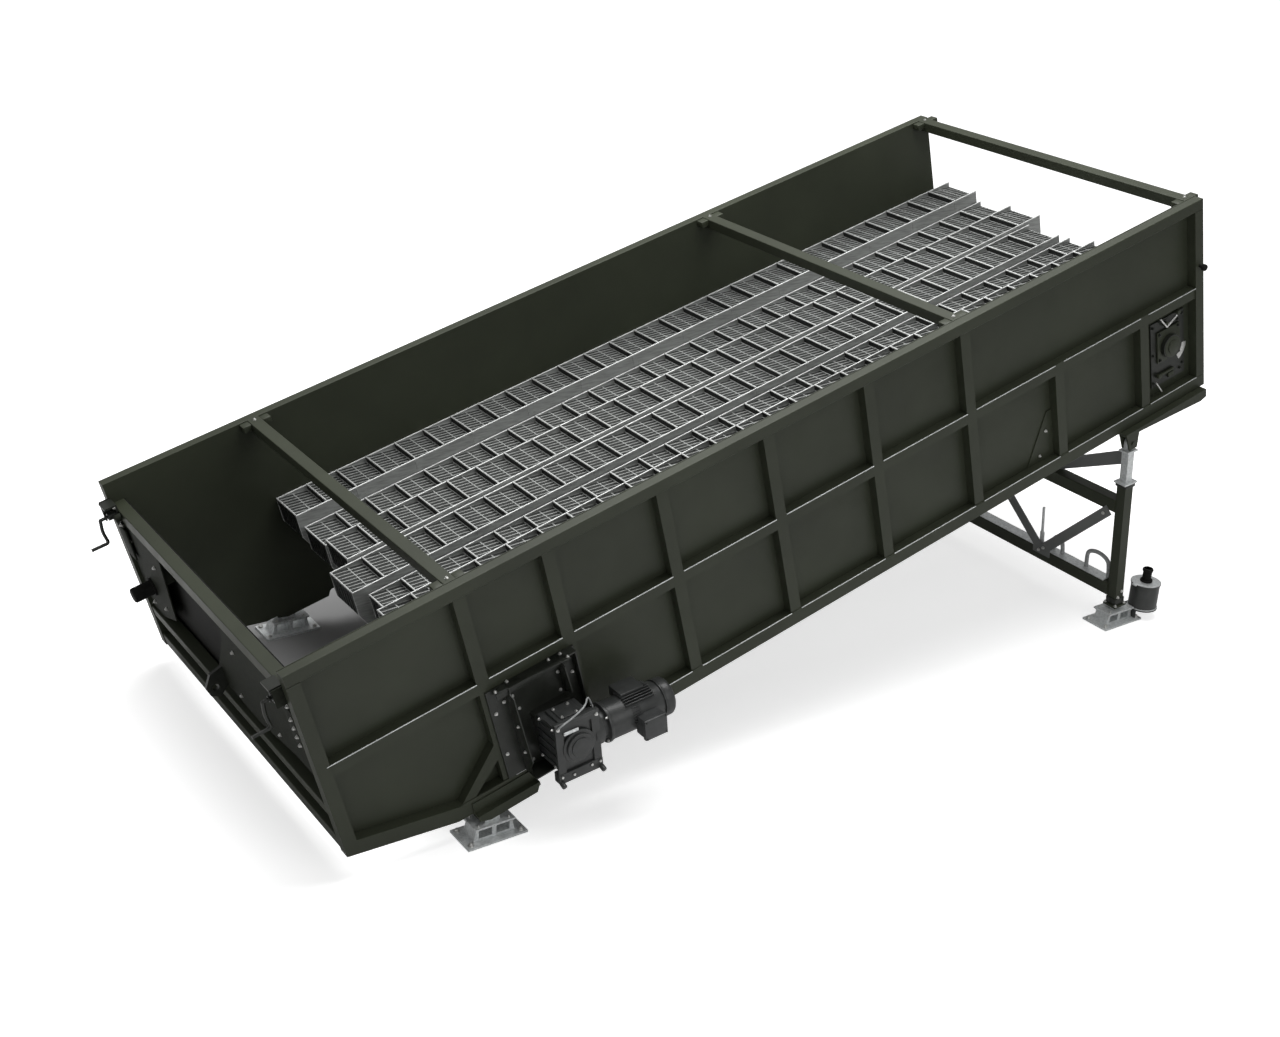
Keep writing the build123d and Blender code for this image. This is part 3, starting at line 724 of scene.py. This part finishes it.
class SEPARATOR_OT_drive_bracket(bpy.types.Operator):
    """Flange, stiffeners and bolts of the bracket that carries the drive"""
    bl_idname = "separator.drive_bracket"
    bl_label = "Drive bracket"

    def execute(self, context):
        shelf = profile("shelf", [(1.055, -0.040), (1.190, 0.030), (1.530, 0.006), (1.556, -0.090)],
                        "z", -0.746, 0.008, 0.001)
        bored(shelf, (1.283, -0.072, -0.76), (1.283, -0.072, -0.73), 0.014)
        lip = block("lip", (1.075, -0.046, -0.790), (1.556, -0.038, -0.746), 0.001)
        left = profile("left", [(0.006, -0.746), (-0.100, -0.800), (-0.130, -1.250), (-0.040, -1.372),
                                (0.006, -1.372)], "x", 1.146, 0.009, 0.001)
        right = profile("right", [(0.006, -0.746), (-0.080, -0.790), (-0.100, -0.960), (0.006, -1.010)],
                        "x", 1.505, 0.009, 0.001)
        base = block("base", (1.146, -0.125, -1.380), (1.330, 0.006, -1.371), 0.001)
        placed("drive_bracket_plates", [shelf, lip, left, right, base], BODY, "black_paint")
        up, out, side = (0, 0, 1), (0, -1, 0), (-1, 0, 0)
        spots = [((x, y, -0.738), up) for x, y in
                 ((1.175, 0.000), (1.080, -0.034), (1.450, -0.010), (1.545, -0.071), (1.527, -0.015))]
        spots += [((x, -0.004, z), out) for x, z in
                  ((1.183, -0.842), (1.125, -0.850), (1.490, -0.850), (1.480, -0.975), (1.205, -0.946),
                   (1.205, -1.330), (1.580, -1.330), (1.580, -0.900), (1.060, -1.200), (1.060, -0.900))]
        spots += [((1.146, -0.070, z), side) for z in (-1.010, -1.200)]
        placed("drive_bracket_bolts", [bolts("bolts", spots, 0.009)], BODY, "bright_zinc")
        return {"FINISHED"}


class SEPARATOR_OT_gearbox(bpy.types.Operator):
    """Covers, ribs, bolts, plate and lead of the gearbox"""
    bl_idname = "separator.gearbox"
    bl_label = "Gearbox"

    def execute(self, context):
        face = -0.308
        cover = rod("cover", (0, -0.300, 0), (0, face - 0.012, 0), 0.086, 48, edge=0.004)
        hub = rod("hub", (0, face - 0.010, 0), (0, face - 0.020, 0), 0.062, 48, edge=0.003)
        ring = rod("ring", (0, -0.286, 0), (0, -0.302, 0), 0.106, 48, edge=0.003)
        frame_top = block("frame_top", (-0.147, -0.300, 0.168), (0.147, -0.270, 0.192), 0.004)
        frame_low = block("frame_low", (-0.147, -0.300, -0.214), (0.147, -0.240, -0.148), 0.004)
        ribs = []
        for n in range(5):
            z = -0.110 + 0.055 * n
            ribs.append(block("rib", (-0.134, -0.262, z - 0.003), (-0.122, -0.070, z + 0.003), 0.001))
        saddle = block("saddle", (-0.085, -0.250, 0.140), (0.090, -0.080, 0.160), 0.006)
        lid = block("lid", (-0.060, -0.225, 0.156), (0.060, -0.105, 0.168), 0.004)
        neck = rod("neck", (0.118, MOTOR_Y, 0), (0.180, MOTOR_Y, 0), 0.112, 48, edge=0.004)
        feet = [rod("foot", (x, -0.296, z), (x, -0.330, z - 0.012), 0.016, 16, edge=0.003)
                for x, z in ((-0.134, -0.205), (0.134, -0.205))]
        castings = [cover, hub, ring, frame_top, frame_low, saddle, lid, neck] + ribs + feet
        placed("gearbox_castings", castings, DRIVE, "drive_grey")
        out, up = (0, -1, 0), (0, 0, 1)
        spots = [((x, -0.297, z), out) for x in (-0.128, 0.128) for z in (-0.165, 0.160)]
        spots += [((0.070, -0.297, -0.165), out), ((-0.050, -0.297, -0.178), out)]
        spots += [((x, y, 0.166), up) for x in (-0.048, 0.048) for y in (-0.213, -0.117)]
        spots += [((-0.126, y, z), (-1, 0, 0)) for y in (-0.235, -0.090) for z in (-0.125, 0.125)]
        placed("gearbox_bolts", [bolts("bolts", spots, 0.009)], DRIVE, "bright_zinc")
        plate = block("plate", (-0.098, -0.312, 0.112), (0.000, -0.304, 0.132), 0.003)
        placed("gearbox_plate", [plate], DRIVE, "galvanised")
        route = [(-0.130, -0.297, 0.165), (-0.110, -0.330, 0.205), (-0.020, -0.320, 0.225),
                 (0.070, -0.290, 0.240), (0.110, -0.240, 0.250), (0.150, -0.200, 0.205),
                 (0.175, -0.190, 0.110)]
        placed("gearbox_lead", [bent_rod("lead", route, 0.005)], DRIVE, "hose_grey")
        return {"FINISHED"}


class SEPARATOR_OT_motor(bpy.types.Operator):
    """The motor with its flange, smooth body, cowl, fins and terminal box"""
    bl_idname = "separator.motor"
    bl_label = "Motor"

    def execute(self, context):
        y = MOTOR_Y
        axis = Matrix.Translation((0, y, 0))
        flange = rod("flange", (0.214, y, 0), (0.236, y, 0), 0.125, 56, edge=0.004)
        shell = rod("shell", (0.234, y, 0), (0.588, y, 0), 0.1175, 56, edge=0.003)
        gap = rod("gap", (0.580, y, 0), (0.602, y, 0), 0.110, 48)
        cowl = rod("cowl", (0.594, y, 0), (0.679, y, 0), 0.119, 56)
        apply_modifier(cowl, "BEVEL", width=0.030, segments=6, limit_method="ANGLE")
        belt = rod("band", (0.600, y, 0), (0.608, y, 0), 0.121, 56, edge=0.002)
        box = block("fin_box", (0.350, y - 0.020, 0.080), (0.510, y + 0.110, 0.146), 0.004)
        pieces = [flange, shell, gap, cowl, belt, box]
        count = context.scene.separator_sizes.fins
        for n in range(count):
            angle = radians(-24 + 62 * n / (count - 1))
            fin = block("fin", (0.345, -0.0022, 0.112), (0.545, 0.0022, 0.136), 0.001)
            pieces.append(seat(fin, axis @ Matrix.Rotation(angle, 4, "X")))
        for n in range(7):
            angle = radians(48 + 8 * n)
            fin = block("fin", (0.375, -0.0018, 0.112), (0.432, 0.0018, 0.127), 0.001)
            pieces.append(seat(fin, axis @ Matrix.Rotation(angle, 4, "X")))
        motor = placed("motor_detail", pieces, DRIVE, "drive_grey")
        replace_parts(motor, "motor")
        base = block("base", (0.392, -0.394, -0.093), (0.538, -0.290, 0.033), 0.008)
        lid = block("lid", (0.386, -0.399, -0.099), (0.544, -0.368, 0.039), 0.010)
        gland = rod("gland", (0.465, -0.340, -0.086), (0.465, -0.340, -0.118), 0.017, 12, edge=0.002)
        terminal = placed("terminal_box_detail", [base, lid, gland], DRIVE, "grey_box")
        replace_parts(terminal, "terminal_box")
        spots = [((x, -0.399, z), (0, -1, 0)) for x in (0.398, 0.532) for z in (-0.087, 0.027)]
        placed("terminal_box_screws", [bolts("bolts", spots, 0.004)], DRIVE, "black_paint")
        spots = [((0.2145, y + 0.112 * cos(a), 0.112 * sin(a)), (-1, 0, 0))
                 for a in (radians(45 + 90 * n) for n in range(4))]
        placed("motor_bolts", [bolts("bolts", spots, 0.008)], DRIVE, "bright_zinc")
        return {"FINISHED"}


def high_bearing(v, out):
    """Plates of one high bearing, outside the wall at v; out is -1 near, +1 far."""
    u, w = HIGH_AXIS
    face = v + out * 0.012

    def plate(name, u_span, w_span, thick):
        low, high = sorted((face, face + out * thick))
        return block(name, (u + u_span[0], low, w + w_span[0]), (u + u_span[1], high, w + w_span[1]), 0.003)

    def pin(name, spot, span, radius, sides, edge):
        ends = [(u + spot[0], face + out * reach, w + spot[1]) for reach in span]
        return rod(name, *ends, radius, sides, edge=edge)

    return [
        plate("inner", (-0.115, 0.115), (-0.105, 0.140), 0.014),
        pin("ring", (0, 0), (0, 0.052), 0.080, 40, 0.006),
        pin("cap", (0, 0), (0.050, 0.062), 0.050, 32, 0.006),
        pin("screw", (0.085, 0.235), (0, 0.040), 0.018, 20, 0.003),
        pin("eye", (-0.030, 0.180), (0, 0.030), 0.020, 20, 0.003),
        plate("latch", (-0.110, 0.045), (-0.215, -0.195), 0.020),
        pin("latch_eye", (-0.110, -0.205), (0, 0.030), 0.018, 20, 0.003),
        plate("hook", (-0.010, 0.045), (-0.260, -0.225), 0.016),
    ]


class SEPARATOR_OT_high_bearings(bpy.types.Operator):
    """Plates, adjusters and scale of the high crankshaft's bearings"""
    bl_idname = "separator.high_bearings"
    bl_label = "High bearings"

    def execute(self, context):
        u, w = HIGH_AXIS
        shaft = twin(frame["nodes"]["high_crankshaft"], "high_crankshaft_ends")
        for v, way in ((0.020, -1), (WIDTH - 0.020, 1)):
            cut_off(shaft, (0, CORNER.y + v, 0), (0, way, 0))
        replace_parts(finished(shaft, finish_of("dark_steel"), "high_crank"), "high_crankshaft")
        pieces, bright, spots = [], [], []
        for v, out in ((FRAME_D, -1), (WIDTH - FRAME_D, 1)):
            pieces += high_bearing(v, out)
            face = v + out * 0.012
            front = face + out * 0.030
            way = (0, out, 0)
            joint = (u - 0.035, front, w + 0.165)
            bright.append(rod("fork", (u - 0.100, front, w + 0.255), joint, 0.007, 10))
            bright.append(rod("fork", (u + 0.070, front, w + 0.215), joint, 0.007, 10))
            bright.append(rod("stay", (u - 0.155, front, w - 0.235), (u - 0.100, front, w - 0.330),
                              0.006, 10))
            fan = []
            for n in range(7):
                angle = radians(-62 + 9 * n)
                fan.append((u + 0.040 + 0.150 * cos(angle), w - 0.030 + 0.150 * sin(angle)))
            for n in range(7):
                angle = radians(-8 - 9 * n)
                fan.append((u + 0.040 + 0.105 * cos(angle), w - 0.030 + 0.105 * sin(angle)))
            bright.append(profile("scale", fan, "y", face, out * 0.004))
            spots += [((u + a, face, w + b), way) for a, b in
                      ((-0.150, 0.190), (0.150, 0.190), (-0.150, -0.255), (0.150, -0.210), (0.120, -0.240),
                       (-0.150, -0.030), (0.105, 0.160))]
            spots += [((u + a, face + out * 0.014, w + b), way) for a, b in
                      ((-0.095, 0.120), (0.095, 0.120), (-0.095, -0.085), (0.095, -0.085))]
        placed("high_bearing_plates", pieces, BODY, "green_paint")
        placed("high_bearing_adjusters", bright, BODY, "bright_zinc")
        placed("high_bearing_bolts", [bolts("bolts", spots, 0.010)], BODY, "black_paint")
        knob = [rod("stem", (6.960, 0.001, -0.496), (6.960, -0.030, -0.496), 0.010, 12),
                rod("knob", (6.960, -0.026, -0.496), (6.960, -0.055, -0.496), 0.024, 20, edge=0.006)]
        placed("post_knob", knob, BODY, "black_rubber")
        return {"FINISHED"}


class SEPARATOR_OT_feet(bpy.types.Operator):
    """Ground bolts, plinth bolts and welds of the four feet"""
    bl_idname = "separator.feet"
    bl_label = "Feet"

    def execute(self, context):
        spots, small, pads = [], [], []
        up = (0, 0, 1)
        for x in FOOT_X.values():
            for v in SIDES.values():
                y = CORNER.y + v
                spots += [((x + a, y + b, 0.015), up) for a in (-0.165, 0.165) for b in (-0.085, 0.085)]
                small += [((x + a, y + b * 0.062, 0.086), (0, b, 0))
                          for a in (-0.112, 0.112) for b in (-1, 1)]
                small += [((x + a, y + b, 0.105), up) for a in (-0.100, 0.100) for b in (-0.055, 0.055)]
                pads.append(block("weld", (x - 0.138, y - 0.066, 0.015),
                                  (x + 0.138, y + 0.066, 0.020), 0.002))
        placed("ground_bolts", [bolts("bolts", spots, 0.015)], Matrix.Identity(4), "bright_zinc")
        placed("plinth_bolts", [bolts("bolts", small, 0.008)], Matrix.Identity(4), "bright_zinc")
        placed("plinth_welds", pads, Matrix.Identity(4), "galvanised")
        return {"FINISHED"}


class SEPARATOR_OT_leg_fittings(bpy.types.Operator):
    """Sockets, collars, bolts and hoops of the high legs and their frame"""
    bl_idname = "separator.leg_fittings"
    bl_label = "Leg fittings"

    def execute(self, context):
        dark, spots, hoops = [], [], []
        for v in SIDES.values():
            dark.append(block("socket", (-0.047, v - 0.047, 0.014), (0.047, v + 0.047, 0.070), 0.003))
            dark.append(block("collar", (-0.050, v - 0.050, 0.990), (0.050, v + 0.050, 1.021), 0.003))
            spots += [((0.020 * a, v - 0.0405, 0.100 + 0.02 * a), (0, -1, 0)) for a in (-1, 1)]
            spots += [((a * 0.046, v + b * 0.036, 0.014), (0, 0, 1)) for a in (-1, 1) for b in (-1.35, 1.35)]
            spots += [((0.0405, v + b, 1.006), (1, 0, 0)) for b in (-0.025, 0.025)]
            spots += [((0, v - 0.019, 1.300), (0, -1, 0))]
        placed("leg_sockets", dark, LEG, "black_paint")
        placed("leg_bolts", [bolts("bolts", spots, 0.010)], LEG, "bright_zinc")
        for low, high, tall in ((0.095, 0.315, 0.150), (0.560, 0.660, 0.110)):
            base, top = 0.181, 0.181 + tall
            knots = [(0.015, low, base), (0.015, low, base + tall * 0.45), (0.015, low + 0.010, top - 0.010),
                     (0.015, (low + high) / 2, top + 0.020), (0.015, high - 0.010, top - 0.010),
                     (0.015, high, base + tall * 0.45), (0.015, high, base)]
            hoops.append(bent_rod("hoop", knots, 0.016))
        placed("hose_hoops", hoops, LEG, "hose_grey")
        brace = [((-0.060, v, z), (-1, 0, 0)) for v, z in
                 ((0.130, 0.735), (0.690, 0.200), (0.735, 0.165), (1.330, 0.730),
                  (2.740, 0.735), (2.180, 0.200), (2.135, 0.165), (1.540, 0.730))]
        placed("brace_bolts", [bolts("bolts", brace, 0.011)], LEG, "bright_zinc")
        return {"FINISHED"}


class SEPARATOR_OT_drum(bpy.types.Operator):
    """The drum beside the high foot: lid, ring and its tube"""
    bl_idname = "separator.drum"
    bl_label = "Drum"

    def execute(self, context):
        x, y = FOOT_X["high"] + 0.246, CORNER.y - 0.062
        lid = rod("lid", (x, y, 0.274), (x, y, 0.286), 0.1115, 48, edge=0.003)
        ear = block("ear", (x - 0.125, y - 0.010, 0.274), (x - 0.060, y + 0.030, 0.285), 0.004)
        ring = rod("ring", (x, y, 0.084), (x, y, 0.092), 0.110, 48, edge=0.002)
        placed("drum_lid", [lid, ear, ring], Matrix.Identity(4), "galvanised")
        tube = rod("tube", (x, y, 0.284), (x, y, 0.392), 0.0335, 32, edge=0.006)
        cuff = rod("cuff", (x, y, 0.286), (x, y, 0.304), 0.046, 32, edge=0.004)
        bulge = rod("bulge", (x, y, 0.366), (x, y, 0.394), 0.040, 32, edge=0.010)
        placed("drum_tube", [tube, cuff, bulge], Matrix.Identity(4), "black_rubber")
        return {"FINISHED"}


class SEPARATOR_OT_wall_fittings(bpy.types.Operator):
    """Clips, webs, gussets, bolts and painted edge highlights of the side walls"""
    bl_idname = "separator.wall_fittings"
    bl_label = "Wall fittings"

    def execute(self, context):
        clips, spots = [], []
        for u in (1.005, 4.745, 6.905):
            for v, way in ((INNER0, 1), (INNER1, -1)):
                for end in (u - 0.060, u + 0.080):
                    clips.append(block("clip", (end, min(v, v + way * 0.070), -0.050),
                                       (end + 0.060, max(v, v + way * 0.070), -0.004), 0.004))
                spots.append(((u + 0.040, v + way * 0.035, 0.0), (0, 0, 1)))
        for v, out in ((FRAME_D, -1), (WIDTH - FRAME_D, 1)):
            way = (0, out, 0)
            clips.append(profile("gusset", [(5.280, BOTTOM_TOP), (5.535, BOTTOM_TOP), (5.535, -1.016),
                                            (5.490, -1.016)], "y", v, out * 0.008))
            spots += [((5.470, v + out * 0.008, -1.160), way), ((5.400, v + out * 0.008, -1.330), way)]
            for u in RIBS[:6]:
                clips.append(profile("web", [(u - 0.060, -RAIL), (u, -RAIL), (u, -RAIL - 0.060)],
                                     "y", v, out * 0.008))
                spots.append(((u - 0.018, v + out * 0.008, -RAIL - 0.018), way))
        placed("wall_clips", clips, BODY, "green_paint")
        # Painted highlights: thin bright rods along the top edges of the mid and bottom rails
        edge_highlight_rods = []
        for v in SIDES.values():
            face = v + (0.0015 if v == 0 else -0.0015)
            for start, end in zip([0.060] + [rib + RIB_W for rib in RIBS], RIBS + [LENGTH - 0.080]):
                for top in ([MID_TOP, BOTTOM_TOP] if start > 1 else [MID_TOP]):
                    w = top - 0.0015
                    edge_highlight_rods.append(rod("edge_highlight_rods", (start, face, w), (end, face, w), 0.003, 8))
        placed("painted_edge_highlights", edge_highlight_rods, BODY, "galvanised")
        placed("wall_bolts", [bolts("bolts", spots, 0.009)], BODY, "bright_zinc")
        return {"FINISHED"}


class SEPARATOR_OT_stage(bpy.types.Operator):
    """Set up the floor, the light and the camera"""
    bl_idname = "separator.stage"
    bl_label = "Stage"

    def execute(self, context):
        scene = context.scene
        scene.view_settings.view_transform = "Standard"
        bpy.ops.mesh.primitive_plane_add(size=160, location=(0, 0, -0.0005))
        floor = bpy.context.object
        floor.name = "floor"
        floor.data.materials.append(floor_white("floor_white", (0.80, 0.80, 0.80)))
        world = bpy.data.worlds.new("studio")
        world.use_nodes = True
        scene.world = world
        tree = world.node_tree
        dome = tree.nodes["Background"]
        dome.inputs["Color"].default_value = (1, 1, 1, 1)
        dome.inputs["Strength"].default_value = 0.35
        white = tree.nodes.new("ShaderNodeBackground")
        white.inputs["Color"].default_value = (1, 1, 1, 1)
        white.inputs["Strength"].default_value = 1.0
        path = tree.nodes.new("ShaderNodeLightPath")
        pick = tree.nodes.new("ShaderNodeMixShader")
        link(tree, path.outputs["Is Camera Ray"], pick.inputs["Fac"])
        link(tree, dome.outputs[0], pick.inputs[1])
        link(tree, white.outputs[0], pick.inputs[2])
        link(tree, pick.outputs[0], tree.nodes["World Output"].inputs["Surface"])
        for name, spot, aim, size, power in (
                ("overhead", (0.5, 1.0, 9.5), (0, 0, 1), 9.0, 1220),
                ("front", (-0.5, -11.0, 5.5), (0, -1.0, 1.4), 6.0, 150)):
            bpy.ops.object.light_add(type="AREA", location=spot)
            lamp = bpy.context.object
            lamp.name = name
            lamp.data.energy = power
            lamp.data.size = size
            lamp.rotation_euler = (Vector(aim) - Vector(spot)).to_track_quat("-Z", "Y").to_euler()
        add_camera(scene)
        return {"FINISHED"}


# Camera, solved from the photograph, and the photograph's size
CAMERA_AT = Vector((-3.01134, -7.45039, 5.97098)) + Vector((CORNER.x, CORNER.y, 0))
YAW, PITCH_DOWN, ROLL = radians(53.084), radians(23.630), radians(3.426)
FOCAL_PX, CENTRE_PX, IMAGE_PX = 1745.859, (697.056, 489.918), (1280, 1037)


def add_camera(scene):
    """The photograph's camera."""
    look = Vector((cos(YAW) * cos(PITCH_DOWN), sin(YAW) * cos(PITCH_DOWN), -sin(PITCH_DOWN)))
    level = Vector((sin(YAW), -cos(YAW), 0))
    up = level.cross(look)
    right = level * cos(ROLL) + up * sin(ROLL)
    top = up * cos(ROLL) - level * sin(ROLL)
    bpy.ops.object.camera_add(location=CAMERA_AT)
    camera = bpy.context.object
    camera.name = "camera"
    camera.matrix_world = Matrix.Translation(CAMERA_AT) @ Matrix((right, top, -look)).transposed().to_4x4()
    camera.data.sensor_width = 36
    camera.data.lens = 36 * FOCAL_PX / IMAGE_PX[0]
    camera.data.shift_x = -(CENTRE_PX[0] - IMAGE_PX[0] / 2) / IMAGE_PX[0]
    camera.data.shift_y = (CENTRE_PX[1] - IMAGE_PX[1] / 2) / IMAGE_PX[0]
    camera.data.clip_start, camera.data.clip_end = 0.1, 400
    scene.camera = camera


OPERATORS = [
    SEPARATOR_OT_cad_finishes,
    SEPARATOR_OT_paddle_tiles,
    SEPARATOR_OT_low_end,
    SEPARATOR_OT_drive_bracket,
    SEPARATOR_OT_gearbox,
    SEPARATOR_OT_motor,
    SEPARATOR_OT_high_bearings,
    SEPARATOR_OT_feet,
    SEPARATOR_OT_leg_fittings,
    SEPARATOR_OT_drum,
    SEPARATOR_OT_wall_fittings,
    SEPARATOR_OT_stage,
]


class SEPARATOR_PT_panel(bpy.types.Panel):
    """The pieces, each with its button"""
    bl_idname = "SEPARATOR_PT_panel"
    bl_label = "Ballistic separator"
    bl_space_type = "VIEW_3D"
    bl_region_type = "UI"
    bl_category = "Separator"

    def draw(self, context):
        for operator in OPERATORS:
            self.layout.operator(operator.bl_idname)


CLASSES = [SeparatorFinish, SeparatorSizes] + OPERATORS + [SEPARATOR_PT_panel]


def register():
    for cls in CLASSES:
        bpy.utils.register_class(cls)
    bpy.types.Scene.separator_finish = PointerProperty(type=SeparatorFinish)
    bpy.types.Scene.separator_sizes = PointerProperty(type=SeparatorSizes)


def unregister():
    del bpy.types.Scene.separator_sizes
    del bpy.types.Scene.separator_finish
    for cls in reversed(CLASSES):
        bpy.utils.unregister_class(cls)


def main():
    register()
    for operator in OPERATORS:
        group, action = operator.bl_idname.split(".")
        getattr(getattr(bpy.ops, group), action)()


if __name__ == "__main__":
    main()
